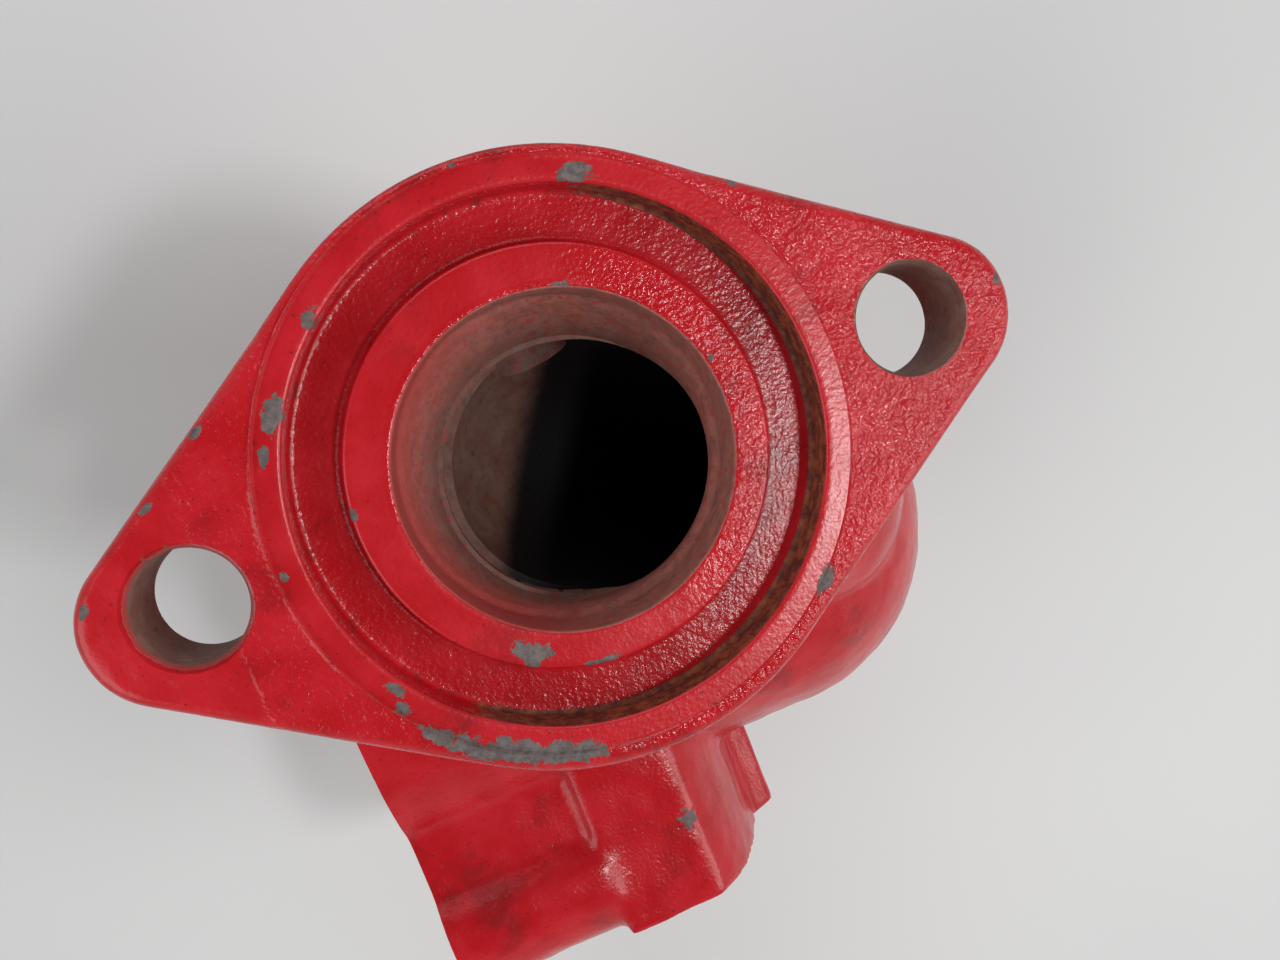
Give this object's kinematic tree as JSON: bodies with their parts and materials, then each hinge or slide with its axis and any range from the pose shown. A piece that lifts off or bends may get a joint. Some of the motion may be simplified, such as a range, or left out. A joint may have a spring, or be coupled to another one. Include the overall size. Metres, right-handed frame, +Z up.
{
  "type": "flange-mounted circulator pump end",
  "caption": "Cast-iron in-line pump end with rhombic two-bolt port flanges, a domed barrel and a ball-bearing shaft with impeller and face seal.",
  "frame": {"origin": "centre of the lower port's bolt pattern, on the face of the lower flange, where the part stands", "axes": "+Z up along the pipe axis to the upper port, X along the shaft with the drive end towards -X, -Y towards the barrel side"},
  "size_m": [0.1056, 0.1027, 0.13],
  "materials": {
    "red_paint": "glossy enamel brushed over a rough casting, chipped at machined edges, bare rusty iron inside the port",
    "bare_iron": "turned grey iron",
    "bearing_steel": "ground",
    "stainless": "turned",
    "bronze": "cast, machined faces",
    "brass_cage": "satin",
    "spring_steel": "phosphated",
    "rubber": "matt",
    "ceramic": "lapped",
    "carbon": "lapped",
    "plug_steel": "zinc, dulled"
  },
  "bodies": {
    "housing": {"pump_casing": "red_paint", "eye_wear_ring": "bronze", "bearing_carrier": "bare_iron", "carrier_o_ring": "rubber", "carrier_snap_ring": "spring_steel", "bearing_snap_ring": "spring_steel", "outer_spacer": "bearing_steel", "seal_seat_gasket": "rubber", "seal_seat": "ceramic", "gauge_plugs": "plug_steel", "drain_plug": "plug_steel", "outboard_outer_race": "bearing_steel", "outboard_shields": "spring_steel", "inboard_outer_race": "bearing_steel", "inboard_shields": "spring_steel"},
    "rotor": {"shaft": "stainless", "shaft_snap_ring": "spring_steel", "impeller_key": "stainless", "impeller": "bronze", "impeller_washer": "stainless", "impeller_nut": "stainless", "seal_face": "carbon", "seal_bellows": "rubber", "seal_spring": "stainless", "seal_retainer": "stainless", "inner_spacer": "bearing_steel", "outboard_inner_race": "bearing_steel", "inboard_inner_race": "bearing_steel"},
    "outboard_cage_set": {"outboard_balls": "bearing_steel", "outboard_cage": "brass_cage"},
    "inboard_cage_set": {"inboard_balls": "bearing_steel", "inboard_cage": "brass_cage"}
  },
  "joints": [
    {"name": "shaft_spin", "type": "hinge", "parent": "housing", "child": "rotor", "pos_m": [-0.037, -0.0256, 0.065], "axis": [1, 0, 0], "continuous": true},
    {"name": "outboard_cage_spin", "type": "hinge", "parent": "housing", "child": "outboard_cage_set", "pos_m": [-0.037, -0.0256, 0.065], "axis": [1, 0, 0], "continuous": true},
    {"name": "inboard_cage_spin", "type": "hinge", "parent": "housing", "child": "inboard_cage_set", "pos_m": [-0.037, -0.0256, 0.065], "axis": [1, 0, 0], "continuous": true}
  ],
  "couplings": [
    {"joint": "outboard_cage_spin", "follows": "shaft_spin", "ratio": 0.4},
    {"joint": "inboard_cage_spin", "follows": "shaft_spin", "ratio": 0.4}
  ]
}
